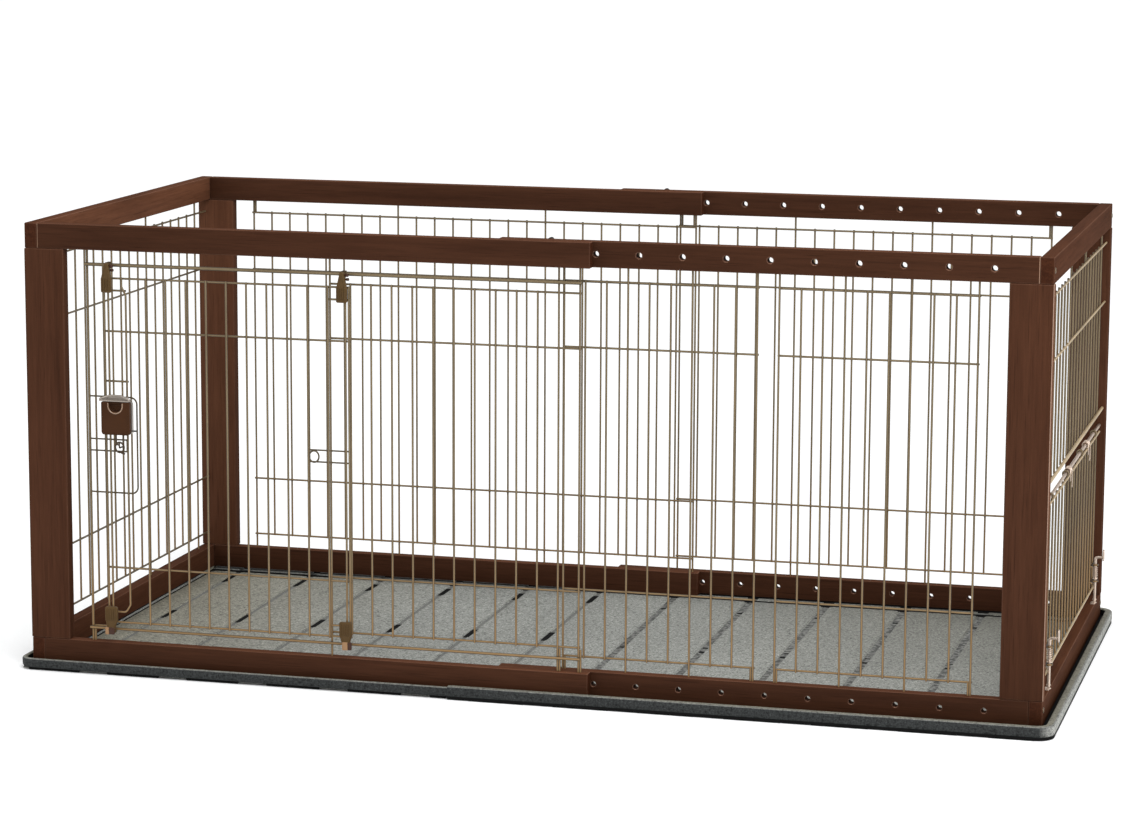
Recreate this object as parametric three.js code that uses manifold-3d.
// Extending pet playpen: two wood-framed halves with welded wire panels that
// telescope along X, a sliding front door with a slide latch, a top-hinged
// flap door in the right end, and a two-piece nesting floor tray.
// Millimetres, +Z up, +X along the pen to the right, +Y away from the front.
// Pieces are drawn from the frame's left end, the right half's front face and
// the frame's underside. The group's own origin is the pen's bottom centre.
import * as THREE from "three";
import { mergeVertices } from "three/addons/utils/BufferGeometryUtils.js";
import Module from "manifold-3d";

const wasm = await Module();
wasm.setup();

// ---------------------------------------------------------------- frame sizes
const GAP = 0.3; // clearance between neighbouring solids
const FRAME_W = 1540; // outer length of the extended frame
const FRAME_H = 674;
const HALF_D = 748; // outer depth of each half
const RAIL_T = 17.3; // rail and post thickness
const RAIL_H = 38;
const END_T = 19.9; // end rail thickness
const POST_W = 62;
const LEFT_RAIL_END = 876; // right end of the left half's long rails
const RIGHT_RAIL_START = 735; // left end of the right half's long rails

const RIGHT_FRONT = 0;
const RIGHT_REAR = RIGHT_FRONT + HALF_D;
const LEFT_FRONT = RIGHT_FRONT - RAIL_T - GAP; // left rails run in front of right rails
const LEFT_REAR = LEFT_FRONT + HALF_D;
const TOP_RAIL_Z = FRAME_H - RAIL_H; // underside of the top rails
// posts and panel legs stand between the rails
const OPENING_Z = [RAIL_H + GAP, TOP_RAIL_Z - GAP];

// ---------------------------------------------------------------- wire sizes
const WIRE_HALF = 1.5; // half thickness of panel wire
const THIN_HALF = 1.2; // half thickness of loops and lug wires
const BAR_STEP = 2.6; // offset of a panel's horizontals from its verticals
const PANEL_INSET = 8.8; // front and rear panel wires, in from the outer face
const FRONT_PITCH = 31.75; // vertical wire spacing, right front panels and door
const END_PITCH = 36.8; // vertical wire spacing, end panels and flap
const END_WIRES = 18;
const SIDE_BARS = [61, 158, 519.5, 616]; // heights of a fixed panel's horizontals

// ---------------------------------------------------------------- tray sizes
const TRAY_OUT = 20; // tray rim beyond the frame
const TRAY_FRONT_EXTRA = 0.4; // further reach of the rim at the front
const TRAY_TOP = 10;
const TRAY_BOTTOM = -10;
const TRAY_WALL = 1.8; // right tray's rim wall
const TRAY_X0 = -TRAY_OUT;
const TRAY_X1 = FRAME_W + TRAY_OUT;
const TRAY_Y0 = LEFT_FRONT - TRAY_OUT - TRAY_FRONT_EXTRA;
const TRAY_Y1 = RIGHT_REAR + TRAY_OUT;
const NEST = TRAY_WALL + GAP; // offset between the nested trays

// ---------------------------------------------------------------- solids
const ROUND = 10; // segments of hinge parts and nuts; other rods have 8

const toSolid = (geometry) => {
  geometry.deleteAttribute("normal");
  geometry.deleteAttribute("uv");
  const merged = mergeVertices(geometry, 1e-4);
  return new wasm.Manifold(
    new wasm.Mesh({
      numProp: 3,
      vertProperties: new Float32Array(merged.attributes.position.array),
      triVerts: new Uint32Array(merged.index.array),
    }),
  );
};

const toGeometry = (solid) => {
  const { vertProperties, triVerts } = solid.getMesh();
  const geometry = new THREE.BufferGeometry();
  geometry.setAttribute(
    "position",
    new THREE.BufferAttribute(new Float32Array(vertProperties), 3),
  );
  geometry.setIndex(new THREE.BufferAttribute(new Uint32Array(triVerts), 1));
  geometry.computeVertexNormals();
  return geometry;
};

const box = (x0, x1, y0, y1, z0, z1) =>
  toSolid(
    new THREE.BoxGeometry(x1 - x0, y1 - y0, z1 - z0).translate(
      (x0 + x1) / 2,
      (y0 + y1) / 2,
      (z0 + z1) / 2,
    ),
  );

// cylinder from start to end along an axis; across and up are its other two
// coordinates in x, y, z order
const rod = (axis, radius, start, end, across, up, segments = 8) => {
  const middle = (start + end) / 2;
  const geometry = new THREE.CylinderGeometry(radius, radius, end - start, segments);
  if (axis === "x") geometry.rotateZ(-Math.PI / 2).translate(middle, across, up);
  if (axis === "y") geometry.translate(across, middle, up);
  if (axis === "z") geometry.rotateX(Math.PI / 2).translate(across, up, middle);
  return toSolid(geometry);
};

const join = (solids) => solids.reduce((whole, part) => whole.add(part));
const cut = (body, tools) => tools.reduce((rest, tool) => rest.subtract(tool), body);

// rounded rectangle in plan, extruded from z0 to z1; radii are
// [front-left, front-right, rear-right, rear-left]
const slab = (x0, x1, y0, y1, z0, z1, radii, curveSegments = 4) => {
  const [frontLeft, frontRight, rearRight, rearLeft] = radii;
  const shape = new THREE.Shape();
  const corner = (x, y, radius, angle) => {
    if (radius) shape.absarc(x, y, radius, angle, angle + Math.PI / 2, false);
  };
  shape.moveTo(x0 + frontLeft, y0);
  shape.lineTo(x1 - frontRight, y0);
  corner(x1 - frontRight, y0 + frontRight, frontRight, -Math.PI / 2);
  shape.lineTo(x1, y1 - rearRight);
  corner(x1 - rearRight, y1 - rearRight, rearRight, 0);
  shape.lineTo(x0 + rearLeft, y1);
  corner(x0 + rearLeft, y1 - rearLeft, rearLeft, Math.PI / 2);
  shape.lineTo(x0, y0 + frontLeft);
  corner(x0 + frontLeft, y0 + frontLeft, frontLeft, Math.PI);
  const depth = z1 - z0;
  const geometry = new THREE.ExtrudeGeometry(shape, {
    depth,
    bevelEnabled: false,
    curveSegments,
  });
  return toSolid(geometry.translate(0, 0, z0));
};

// ---------------------------------------------------------------- groups, finishes
const finishes = {
  wood: { color: 0x4a2a1f, roughness: 0.55, metalness: 0.0 },
  wire: { color: 0x8f7a5f, roughness: 0.38, metalness: 0.75 },
  steel: { color: 0xa9a6a0, roughness: 0.35, metalness: 0.85 },
  brownPlastic: { color: 0x5b4026, roughness: 0.45, metalness: 0.0 },
  darkPlastic: { color: 0x38251a, roughness: 0.4, metalness: 0.0 },
  blackPlastic: { color: 0x2a2624, roughness: 0.5, metalness: 0.0 },
  tray: { color: 0x8f9693, roughness: 0.75, metalness: 0.0 },
};

const playpen = new THREE.Group();
playpen.name = "playpen";
playpen.position.set(
  -(TRAY_X0 + NEST + TRAY_X1) / 2,
  -(TRAY_Y0 + TRAY_Y1) / 2,
  -TRAY_BOTTOM,
);
const leftHalf = new THREE.Group();
const rightHalf = new THREE.Group();
playpen.add(leftHalf, rightHalf);

const place = (parent, name, finish, solid) => {
  const material = new THREE.MeshStandardMaterial(finishes[finish]);
  const mesh = new THREE.Mesh(toGeometry(solid), material);
  mesh.name = name;
  parent.add(mesh);
};

// ---------------------------------------------------------------- wood frame
const HOLE_PITCH = 64; // spacing of the width-setting holes
const HOLE_COUNT = 11;
const HOLE_LAST_X = 1456.4; // hole nearest the right end
const HOLE_R = 5;
const HOLE_RISE = 19.5; // hole centre above the rail's underside

const RAIL_LEVELS = [
  ["top", TOP_RAIL_Z],
  ["bottom", 0],
];
const HALVES = [
  {
    side: "left",
    group: leftHalf,
    front: LEFT_FRONT,
    rear: LEFT_REAR,
    railX: [END_T + GAP, LEFT_RAIL_END],
    endX: [0, END_T],
    postX: [0, POST_W],
    screwX: [-1.2, -GAP],
    drilled: false,
  },
  {
    side: "right",
    group: rightHalf,
    front: RIGHT_FRONT,
    rear: RIGHT_REAR,
    railX: [RIGHT_RAIL_START, FRAME_W - END_T - GAP],
    endX: [FRAME_W - END_T, FRAME_W],
    postX: [FRAME_W - POST_W, FRAME_W],
    screwX: [FRAME_W + GAP, FRAME_W + 1.2],
    drilled: true,
  },
];

const railHoles = (y0, z0) =>
  Array.from({ length: HOLE_COUNT }, (_, k) => {
    const x = HOLE_LAST_X - HOLE_PITCH * k;
    return rod("y", HOLE_R, y0 - 1, y0 + RAIL_T + 1, x, z0 + HOLE_RISE);
  });

const placeWood = ({ side, group, front, rear, railX, endX, postX, drilled }) => {
  const rows = [
    ["front", front],
    ["rear", rear - RAIL_T],
  ];
  for (const [row, y0] of rows) {
    for (const [level, z0] of RAIL_LEVELS) {
      const body = box(...railX, y0, y0 + RAIL_T, z0, z0 + RAIL_H);
      const rail = drilled ? cut(body, railHoles(y0, z0)) : body;
      place(group, `${side}_${row}_${level}_rail`, "wood", rail);
    }
  }
  for (const [level, z0] of RAIL_LEVELS) {
    const rail = box(...endX, front, rear, z0, z0 + RAIL_H);
    place(group, `${side}_end_${level}_rail`, "wood", rail);
  }
  for (const [row, y0] of rows) {
    const post = box(...postX, y0, y0 + RAIL_T, ...OPENING_Z);
    place(group, `${side}_${row}_post`, "wood", post);
  }
};
HALVES.forEach(placeWood);

// ---------------------------------------------------------------- width locks
// Each stud passes through the leftmost hole of a right rail, with its nut on
// the +Y face: wing nuts on the top rails, round thumb nuts on the bottom ones.
const LOCK_X = HOLE_LAST_X - HOLE_PITCH * (HOLE_COUNT - 1);
const STUD_R = 3.6;
const STUD_REACH = 12; // stud beyond the nut's seat
const THUMB_NUT = { radius: 8.5, length: 9 };
const WING_HUB = { radius: 9, length: 8 };
const WING_SIZE = [44, 6, 8];
const WING_OFFSET = 7; // wing centre from the nut's seat
const WING_TURN = 1.017; // wing angle about the stud, radians

const lock = (railY, z, winged) => {
  const seat = railY + RAIL_T + GAP;
  const { radius, length } = winged ? WING_HUB : THUMB_NUT;
  const parts = [
    rod("y", STUD_R, railY + GAP, seat + STUD_REACH, LOCK_X, z),
    rod("y", radius, seat, seat + length, LOCK_X, z, ROUND),
  ];
  if (winged) {
    const wings = new THREE.BoxGeometry(...WING_SIZE)
      .rotateY(WING_TURN)
      .translate(LOCK_X, seat + WING_OFFSET, z);
    parts.push(toSolid(wings));
  }
  return join(parts);
};

for (const [row, railY] of [["front", RIGHT_FRONT], ["rear", RIGHT_REAR - RAIL_T]]) {
  for (const [level, z0] of RAIL_LEVELS) {
    const winged = level === "top";
    const name = `${row}_${level}_lock_${winged ? "wing_nut" : "nut"}`;
    place(rightHalf, name, "blackPlastic", lock(railY, z0 + HOLE_RISE, winged));
  }
}

// ---------------------------------------------------------------- wire helpers
// square wires along each axis, from start to end
const wireX = (x0, x1, y, z, half = WIRE_HALF) =>
  box(x0, x1, y - half, y + half, z - half, z + half);
const wireY = (x, y0, y1, z, half = WIRE_HALF) =>
  box(x - half, x + half, y0, y1, z - half, z + half);
const wireZ = (x, y, z0, z1, half = WIRE_HALF) =>
  box(x - half, x + half, y - half, y + half, z0, z1);

const run = (start, pitch, count) =>
  Array.from({ length: count }, (_, k) => start + pitch * k);
const endRun = (middle) =>
  run(middle - ((END_WIRES - 1) / 2) * END_PITCH, END_PITCH, END_WIRES);

// from the first wire's outer side to the last one's
const outerSpan = (places) => [places[0] - WIRE_HALF, places.at(-1) + WIRE_HALF];

// Panels: verticals at the given places, horizontals at the bar heights, set
// off by step. Verticals whose index is in legs take the longer leg span.
const longPanel = (y, wires, legs, bars, step) =>
  join([
    ...bars.map((z) => wireX(...outerSpan(wires), y + step, z)),
    ...wires.map((x, i) =>
      wireZ(x, y, ...(legs.includes(i) ? OPENING_Z : outerSpan(bars))),
    ),
  ]);
const endPanel = ({ x, wires, bars, overhang, legs = [], legSpan, step = BAR_STEP }) =>
  join([
    ...wires.map((y, i) =>
      wireZ(x, y, ...(legs.includes(i) ? legSpan : outerSpan(bars))),
    ),
    ...bars.map((z) =>
      wireY(x + step, wires[0] - overhang, wires.at(-1) + overhang, z),
    ),
  ]);

// ---------------------------------------------------------------- left panels
const END_LEGS = [0, 6, 11, 17];
const LEFT_END_X = 8.5;

place(
  leftHalf,
  "left_end_wire_panel",
  "wire",
  endPanel({
    x: LEFT_END_X,
    wires: endRun((LEFT_FRONT + LEFT_REAR) / 2),
    bars: SIDE_BARS,
    overhang: 20,
    legs: END_LEGS,
    legSpan: OPENING_Z,
  }),
);

const LEFT_REAR_WIRES = run(96.5, 32.03, 25);
place(
  leftHalf,
  "left_rear_wire_panel",
  "wire",
  longPanel(LEFT_REAR - PANEL_INSET, LEFT_REAR_WIRES, [0, 8, 16, 24], SIDE_BARS, -BAR_STEP),
);

// left front: doorway jambs, fixed grid, door tracks, latch strikers and the
// guard loop beside the latch, all welded into one panel
const LEFT_PANEL_Y = LEFT_FRONT + PANEL_INSET;
const LEFT_JAMB_X = 96.5;
const LEFT_JAMB_HALF = 1.95;
const RIGHT_JAMB_X = 479.4; // also the grid's first vertical
const GRID_WIRES = run(RIGHT_JAMB_X, 31.7, 13);
const GRID_LEGS = [0, 11, 12];
const GRID_BARS = [74, 158, 517.5, 598.4];
const TRACK_Y = LEFT_PANEL_Y - 4.2;
const TRACK_HALF_Y = 2.9;
const TOP_TRACK = { z: 614.5, half: 2.7 };
const BOTTOM_TRACK = { z: 58.2, half: 2.1 };
const STRIKER_Z = [331.6, 349.3];
const LEFT_STRIKER_END = 156;
const RIGHT_STRIKER_END = 449;
const GUARD_Z = [268, 414.4];
const GUARD_END = 174.2;

const doorTrack = ({ z, half }) =>
  box(
    LEFT_JAMB_X - LEFT_JAMB_HALF, GRID_WIRES.at(-1) + WIRE_HALF,
    TRACK_Y - TRACK_HALF_Y, TRACK_Y + TRACK_HALF_Y,
    z - half, z + half,
  );

// two horizontal wires from a weld, joined by an upright at the free end
const wireLoop = (weldX, freeX, [low, high]) => {
  const span = [Math.min(weldX, freeX), Math.max(weldX, freeX)];
  const uprightX = freeX + Math.sign(weldX - freeX) * THIN_HALF;
  return [
    wireX(...span, LEFT_PANEL_Y, low, THIN_HALF),
    wireX(...span, LEFT_PANEL_Y, high, THIN_HALF),
    wireZ(uprightX, LEFT_PANEL_Y, low - THIN_HALF, high + THIN_HALF, THIN_HALF),
  ];
};

place(
  leftHalf,
  "left_front_wire_panel",
  "wire",
  join([
    wireZ(LEFT_JAMB_X, LEFT_PANEL_Y, ...OPENING_Z, LEFT_JAMB_HALF),
    longPanel(LEFT_PANEL_Y, GRID_WIRES, GRID_LEGS, GRID_BARS, BAR_STEP),
    doorTrack(TOP_TRACK),
    doorTrack(BOTTOM_TRACK),
    ...wireLoop(LEFT_JAMB_X, LEFT_STRIKER_END, STRIKER_Z),
    ...wireLoop(GRID_WIRES[1], RIGHT_STRIKER_END, STRIKER_Z),
    ...wireLoop(LEFT_JAMB_X, GUARD_END, GUARD_Z),
  ]),
);

// ---------------------------------------------------------------- right panels
const RIGHT_FRONT_BARS = [57, 158, 517.5, 614.5];
for (const [name, startX] of [["inner", 831.5], ["outer", 1149]]) {
  const wires = run(startX, FRONT_PITCH, 10);
  const y = RIGHT_FRONT + PANEL_INSET;
  const panel = longPanel(y, wires, [0, 3, 6, 9], RIGHT_FRONT_BARS, BAR_STEP);
  place(rightHalf, `right_front_wire_panel_${name}`, "wire", panel);
}

const RIGHT_REAR_WIRES = run(835, 32.15, 20);
place(
  rightHalf,
  "right_rear_wire_panel",
  "wire",
  longPanel(RIGHT_REAR - PANEL_INSET, RIGHT_REAR_WIRES, [0, 6, 13, 19], SIDE_BARS, -BAR_STEP),
);

// The right end has a fixed panel above and the flap below, in one plane
// through the flap's hinge rod.
const HINGE_X = 1531;
const HINGE_Z = 317.5;
const HINGE_R = 2.5;
const RIGHT_END_WIRES = endRun((RIGHT_FRONT + RIGHT_REAR) / 2);
place(
  rightHalf,
  "right_end_upper_wire_panel",
  "wire",
  endPanel({
    x: HINGE_X,
    wires: RIGHT_END_WIRES,
    bars: [345.5, 518, 613],
    overhang: 38,
    legs: END_LEGS,
    legSpan: [344, OPENING_Z[1]],
  }),
);

// rod held between the two right posts
const hingeRod = (radius, y0, y1) => rod("y", radius, y0, y1, HINGE_X, HINGE_Z, ROUND);
place(
  rightHalf,
  "flap_hinge_rod",
  "steel",
  hingeRod(HINGE_R, RIGHT_FRONT + RAIL_T + GAP, RIGHT_REAR - RAIL_T - GAP),
);

// ---------------------------------------------------------------- flap door
const FLAP_BARS = [62, 308.5]; // the upper bar lies right under the hinge rod
const KNUCKLE_HALF = 5.5; // in X, and above the hinge axis
const KNUCKLE_HALF_Y = 5;
const KNUCKLE_BORE_R = 2.85;
const BOLT_X = HINGE_X + 7.2;
const BOLT_TOP = 115;
const BOLT_R = 2.5;
const LOW_LUG = [72, 77]; // z range of each lug
const HIGH_LUG = [98, 104];
const LUG_HALF_Y = 5;
const LUG_BORE_R = 3.2;
const LUG_WIRE_REACH = 20;
const BOLT_PLACES = [
  ["front", RIGHT_END_WIRES[0] + END_PITCH / 2],
  ["rear", RIGHT_END_WIRES.at(-1) - END_PITCH / 2],
];

const flap = new THREE.Group();
rightHalf.add(flap);

// turns on the hinge rod
const knuckle = (y) =>
  cut(
    box(
      HINGE_X - KNUCKLE_HALF, HINGE_X + KNUCKLE_HALF,
      y - KNUCKLE_HALF_Y, y + KNUCKLE_HALF_Y,
      FLAP_BARS[1], HINGE_Z + KNUCKLE_HALF,
    ),
    [hingeRod(KNUCKLE_BORE_R, y - KNUCKLE_HALF_Y - 1, y + KNUCKLE_HALF_Y + 1)],
  );

// bored lug that guides a drop bolt, on a short cross wire
const boltLug = (y, [low, high]) => [
  wireY(HINGE_X, y - LUG_WIRE_REACH, y + LUG_WIRE_REACH, (low + high) / 2, THIN_HALF),
  cut(box(HINGE_X - 1.5, BOLT_X + 5, y - LUG_HALF_Y, y + LUG_HALF_Y, low, high), [
    rod("z", LUG_BORE_R, low - 3, high + 3, BOLT_X, y),
  ]),
];

place(
  flap,
  "flap_door_wire_panel",
  "wire",
  join([
    endPanel({
      x: HINGE_X,
      wires: RIGHT_END_WIRES,
      bars: FLAP_BARS,
      overhang: 20,
      step: 2.4,
    }),
    ...[1, 6, 11, 16].map((i) => knuckle(RIGHT_END_WIRES[i])),
    ...BOLT_PLACES.flatMap(([, y]) => [...boltLug(y, HIGH_LUG), ...boltLug(y, LOW_LUG)]),
  ]),
);

// torsion spring as a sleeve on the hinge rod, with a leg hanging down
const SPRING_HALF_Y = 12;
const SPRING_R = 6;
const SPRING_BORE_R = 2.9;
const SPRING_LEG_Z0 = 290;
const hingeSpring = (y) =>
  cut(
    join([
      hingeRod(SPRING_R, y - SPRING_HALF_Y, y + SPRING_HALF_Y),
      box(HINGE_X + 4.3, HINGE_X + 5.9, y + 9.6, y + 11.6, SPRING_LEG_Z0, HINGE_Z),
    ]),
    [hingeRod(SPRING_BORE_R, y - SPRING_HALF_Y - 2, y + SPRING_HALF_Y + 2)],
  );
place(flap, "flap_hinge_spring_front", "steel", hingeSpring(RIGHT_END_WIRES[7] - 6));
place(flap, "flap_hinge_spring_rear", "steel", hingeSpring(RIGHT_END_WIRES[13] + 6));

// drop bolt: pin, arm to the outward finger tab, the tab, and a collar
const COLLAR_R = 4.4; // also the return spring's radius
const TAB_X = [HINGE_X + 19, HINGE_X + 21];
const ARM_HALF = 1.8;
const dropBolt = (y) =>
  join([
    rod("z", BOLT_R, RAIL_H + 2, BOLT_TOP, BOLT_X, y),
    box(
      BOLT_X - ARM_HALF, TAB_X[1],
      y - ARM_HALF, y + ARM_HALF,
      BOLT_TOP - 2 * ARM_HALF, BOLT_TOP,
    ),
    box(...TAB_X, y - 6, y + 6, BOLT_TOP - 7, BOLT_TOP + 11),
    rod("z", COLLAR_R, LOW_LUG[1] + 0.6, LOW_LUG[1] + 2.8, BOLT_X, y),
  ]);

// return spring between the collar and the upper lug
const boltSpring = (y) =>
  cut(rod("z", COLLAR_R, LOW_LUG[1] + 3.2, HIGH_LUG[0] - 0.4, BOLT_X, y), [
    rod("z", SPRING_BORE_R, LOW_LUG[1], HIGH_LUG[0] + 2, BOLT_X, y),
  ]);

// thin plate on the end rail under the bolt
const STRIKE_X = [FRAME_W - END_T + 12, FRAME_W - 0.2];
const STRIKE_HALF_Y = 9;
const STRIKE_T = 1.2;
const strikePlate = (y) => {
  const z0 = RAIL_H + GAP;
  return box(...STRIKE_X, y - STRIKE_HALF_Y, y + STRIKE_HALF_Y, z0, z0 + STRIKE_T);
};

for (const [row, y] of BOLT_PLACES) {
  place(flap, `flap_drop_bolt_${row}`, "steel", dropBolt(y));
  place(flap, `flap_bolt_spring_${row}`, "steel", boltSpring(y));
  place(rightHalf, `flap_strike_plate_${row}`, "steel", strikePlate(y));
}

// ---------------------------------------------------------------- front door
const DOOR_Y = LEFT_FRONT - 4.2; // plane of the door's verticals
const DOOR_FRONT = DOOR_Y - WIRE_HALF - GAP; // back of the parts in front of the wires
const DOOR_BARS = [70.5, 155, 515.5, 595.3];
const DOOR_GRID = run(162.8, FRONT_PITCH, 11);
// doubled wires at each edge
const DOOR_WIRES = [128.6, 135.0, ...DOOR_GRID, 507.5, 512.6];
const LEFT_BAY = [DOOR_WIRES[0], DOOR_GRID[0]];
const RIGHT_BAY = [DOOR_GRID.at(-1), DOOR_WIRES.at(-1)];
// short cross wires beside each hanger and above the latch: bay, height
const CROSS_WIRES = [
  [LEFT_BAY, 577],
  [RIGHT_BAY, 577],
  [LEFT_BAY, 87],
  [RIGHT_BAY, 87],
  [LEFT_BAY, 440],
];

const door = new THREE.Group();
leftHalf.add(door);
place(
  door,
  "front_door_wire_panel",
  "wire",
  join([
    longPanel(DOOR_Y, DOOR_WIRES, [], DOOR_BARS, BAR_STEP),
    ...CROSS_WIRES.map(([bay, z]) => wireX(...outerSpan(bay), DOOR_Y + BAR_STEP, z)),
  ]),
);

// Hangers and guides: a block in front of the edge wires and a tongue reaching
// back over or under the door, grooved to run on a track. The hangers also
// carry a roller pin.
const BLOCK_T = 6.5;
const TONGUE_HALF = 5.5;
const TRACK_COVER = 4.8; // block beyond the track's centre
const GROOVE_SLACK = 0.5;
const ROLLER_PIN = { radius: 2.6, length: 13, drop: 0.5 };
const HANGER = {
  track: TOP_TRACK,
  halfWidth: 8.1,
  blockZ: [574, TOP_TRACK.z + TRACK_COVER],
  tongueZ: [DOOR_BARS[3] + WIRE_HALF + 1, TOP_TRACK.z + TRACK_COVER],
  pin: ROLLER_PIN,
};
const GUIDE = {
  track: BOTTOM_TRACK,
  halfWidth: 9.6,
  blockZ: [BOTTOM_TRACK.z - TRACK_COVER, 95.4],
  tongueZ: [BOTTOM_TRACK.z - TRACK_COVER, DOOR_BARS[0] - WIRE_HALF - 1],
};

const trackRunner = (x, { track, halfWidth, blockZ, tongueZ, pin }) => {
  const parts = [
    box(x - halfWidth, x + halfWidth, DOOR_FRONT - BLOCK_T, DOOR_FRONT, ...blockZ),
    box(
      x - TONGUE_HALF, x + TONGUE_HALF,
      DOOR_FRONT - 1, LEFT_PANEL_Y - WIRE_HALF - 0.6,
      ...tongueZ,
    ),
  ];
  if (pin) parts.push(rod("x", pin.radius, x, x + pin.length, DOOR_Y, track.z - pin.drop));
  const slack = track.half + GROOVE_SLACK;
  const groove = box(
    x - 20, x + 20,
    TRACK_Y - TRACK_HALF_Y - GAP, LEFT_PANEL_Y + 4,
    track.z - slack, track.z + slack,
  );
  return cut(join(parts), [groove]);
};
place(door, "door_hanger_top_left", "brownPlastic", trackRunner(134.4, HANGER));
place(door, "door_hanger_top_right", "brownPlastic", trackRunner(503.7, HANGER));
place(door, "door_guide_bottom_left", "brownPlastic", trackRunner(134, GUIDE));
place(door, "door_guide_bottom_right", "brownPlastic", trackRunner(507, GUIDE));

// ---------------------------------------------------------------- door latch
// a back plate fixed to the door wires, and a moulded handle that slides up on
// it, with a steel lip at the top and a hook below
const LATCH_X = 148.2;
const PLATE_FRONT = DOOR_FRONT - 1.6;
const HANDLE_REAR = PLATE_FRONT - GAP;
const HANDLE_FRONT = HANDLE_REAR - 9.5;
const HANDLE_Z = [360.6, 410.6];
const WINDOW_DEPTH = 6;

place(
  door,
  "door_latch_plate",
  "steel",
  box(LATCH_X - 24.2, LATCH_X + 25.2, PLATE_FRONT, DOOR_FRONT, 362.5, 410.5),
);

const latch = new THREE.Group();
door.add(latch);

const handleBody = slab(
  LATCH_X - 22.8, LATCH_X + 22.6,
  HANDLE_FRONT, HANDLE_REAR,
  ...HANDLE_Z,
  [3, 3, 0, 0],
  2,
);
const handleWindow = box(
  LATCH_X - 11.4, LATCH_X + 13.8,
  HANDLE_FRONT - 1, HANDLE_FRONT + WINDOW_DEPTH,
  390, 403.2,
);
place(latch, "door_latch_handle", "darkPlastic", cut(handleBody, [handleWindow]));
place(
  latch,
  "door_latch_lip",
  "steel",
  box(LATCH_X - 26.2, LATCH_X + 23.8, HANDLE_FRONT + 0.6, HANDLE_REAR, 411, 421),
);

const HOOK_HALF = 1.3; // half thickness of the hook's wire
const HOOK_Y = HANDLE_FRONT + 5.3;
const HOOK_X = [LATCH_X - 8.9, LATCH_X + 6.5];
const HOOK_BARS = [331.3, 340.4];
const PIN_X = LATCH_X - 1.2;
const PIN_Y = [HANDLE_FRONT + 5, LEFT_PANEL_Y - WIRE_HALF - 0.5];
place(
  latch,
  "door_latch_hook",
  "steel",
  join([
    ...HOOK_X.map((x) =>
      wireZ(x, HOOK_Y, HOOK_BARS[0] - HOOK_HALF, HANDLE_Z[0] - GAP, HOOK_HALF),
    ),
    ...HOOK_BARS.map((z) =>
      wireX(HOOK_X[0] - HOOK_HALF, HOOK_X[1] + HOOK_HALF, HOOK_Y, z, HOOK_HALF),
    ),
    // catch pin: ends just in front of the striker loop
    wireY(PIN_X, ...PIN_Y, HOOK_BARS[1], HOOK_HALF),
  ]),
);

// ---------------------------------------------------------------- floor trays
// The left tray's solid rim runs inside the right tray's hollow rim, so the
// two nest and slide.
const RIM = 12; // right tray's rim width
const LEFT_RIM = RIM - 2 * NEST;
const CORNER_R = 26;
const FLOOR_T = 3;
const RIGHT_FLOOR = -GAP; // top of the right floor
const LEFT_FLOOR = RIGHT_FLOOR - FLOOR_T - GAP; // top of the left floor
const RIGHT_TRAY_X0 = 667;
const LEFT_TRAY_X1 = 893;
const GROOVE_X0 = 73;
const GROOVE_PITCH = 128;
const GROOVE_Y = [20, 700];
const GROOVE_DEPTH = 1.2;
const SLOT_STARTS = [60, 334, 616];
const SLOT_LENGTH = 56;
const OVERRUN = 5; // cutters run past a tray's open end

const groove = (x, half, floor) =>
  box(x - half, x + half, ...GROOVE_Y, floor - GROOVE_DEPTH, floor + 1);

// slabs inset from the shared outline, open at the end where the trays overlap
const rightSlab = (inset, x0, z0, z1) => {
  const radius = CORNER_R - inset;
  return slab(
    x0, TRAY_X1 - inset, TRAY_Y0 + inset, TRAY_Y1 - inset, z0, z1,
    [0, radius, radius, 0],
  );
};
const leftSlab = (inset, x1, z0, z1) => {
  const radius = CORNER_R - inset;
  return slab(
    TRAY_X0 + inset, x1, TRAY_Y0 + inset, TRAY_Y1 - inset, z0, z1,
    [radius, 0, 0, radius],
  );
};

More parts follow.
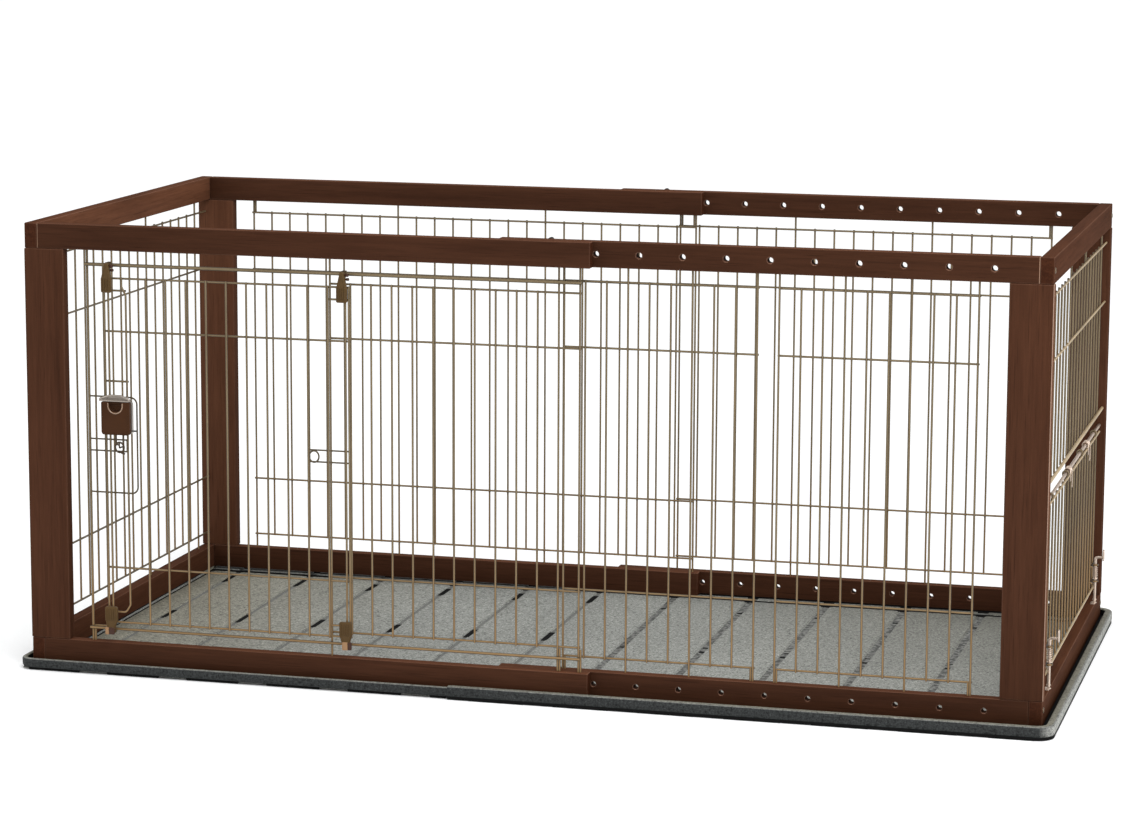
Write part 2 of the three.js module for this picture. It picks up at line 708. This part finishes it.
const rightTray = () => {
  const x0 = RIGHT_TRAY_X0;
  const cutX0 = x0 - OVERRUN;
  const outer = rightSlab(0, x0, TRAY_BOTTOM, TRAY_TOP);
  const well = rightSlab(RIM, cutX0, RIGHT_FLOOR, TRAY_TOP + 1);
  const under = rightSlab(TRAY_WALL, cutX0, TRAY_BOTTOM - 1, RIGHT_FLOOR - FLOOR_T);
  const rimHollow = rightSlab(
    TRAY_WALL, cutX0, TRAY_BOTTOM - 1, TRAY_TOP - TRAY_WALL,
  ).subtract(rightSlab(RIM - TRAY_WALL, x0 - 9, TRAY_BOTTOM - 2, TRAY_TOP));
  const grooves = run(GROOVE_X0 + GROOVE_PITCH * 5, GROOVE_PITCH, 7).map((x) =>
    groove(x, 5, RIGHT_FLOOR),
  );
  return cut(outer, [well, under, rimHollow, ...grooves]);
};

const leftTray = () => {
  const x0 = TRAY_X0 + NEST;
  const x1 = LEFT_TRAY_X1;
  const cutX1 = x1 + OVERRUN;
  const underInset = NEST + 16;
  const outer = leftSlab(NEST, x1, TRAY_BOTTOM, TRAY_TOP - NEST);
  const well = leftSlab(NEST + LEFT_RIM, cutX1, LEFT_FLOOR, TRAY_TOP + 1);
  const under = box(
    TRAY_X0 + underInset, cutX1,
    TRAY_Y0 + underInset, TRAY_Y1 - underInset,
    TRAY_BOTTOM - 1, LEFT_FLOOR - FLOOR_T,
  );
  // each groove has three slots through the floor
  const grooves = run(GROOVE_X0, GROOVE_PITCH, 5).flatMap((x) => [
    groove(x, 4, LEFT_FLOOR),
    ...SLOT_STARTS.map((y) =>
      box(x - 3, x + 3, y, y + SLOT_LENGTH, LEFT_FLOOR - 5, LEFT_FLOOR + 1),
    ),
  ]);
  // pads that carry the left end of the frame at its own level
  const pad = (y0, y1) => box(x0 + LEFT_RIM - 1, 24, y0, y1, LEFT_FLOOR - 1, -GAP);
  return join([
    cut(outer, [well, under, ...grooves]),
    pad(LEFT_FRONT - 6, LEFT_FRONT + 60),
    pad(LEFT_REAR - 60, LEFT_REAR + 6),
  ]);
};
place(rightHalf, "right_floor_tray", "tray", rightTray());
place(leftHalf, "left_floor_tray", "tray", leftTray());

// ---------------------------------------------------------------- corner screws
// a round screw head just proud of the end rail at each corner joint
const SCREW_R = 4.2;
const SCREW_INSET = 8.6; // in from the half's front or rear face
const SCREW_LEVELS = [
  ["top", TOP_RAIL_Z + RAIL_H / 2],
  ["bottom", 24],
];
for (const { side, group, front, rear, screwX } of HALVES) {
  for (const [level, z] of SCREW_LEVELS) {
    for (const [row, y] of [["front", front + SCREW_INSET], ["rear", rear - SCREW_INSET]]) {
      const head = rod("x", SCREW_R, ...screwX, y, z);
      place(group, `${side}_${row}_${level}_screw`, "steel", head);
    }
  }
}

export default playpen;
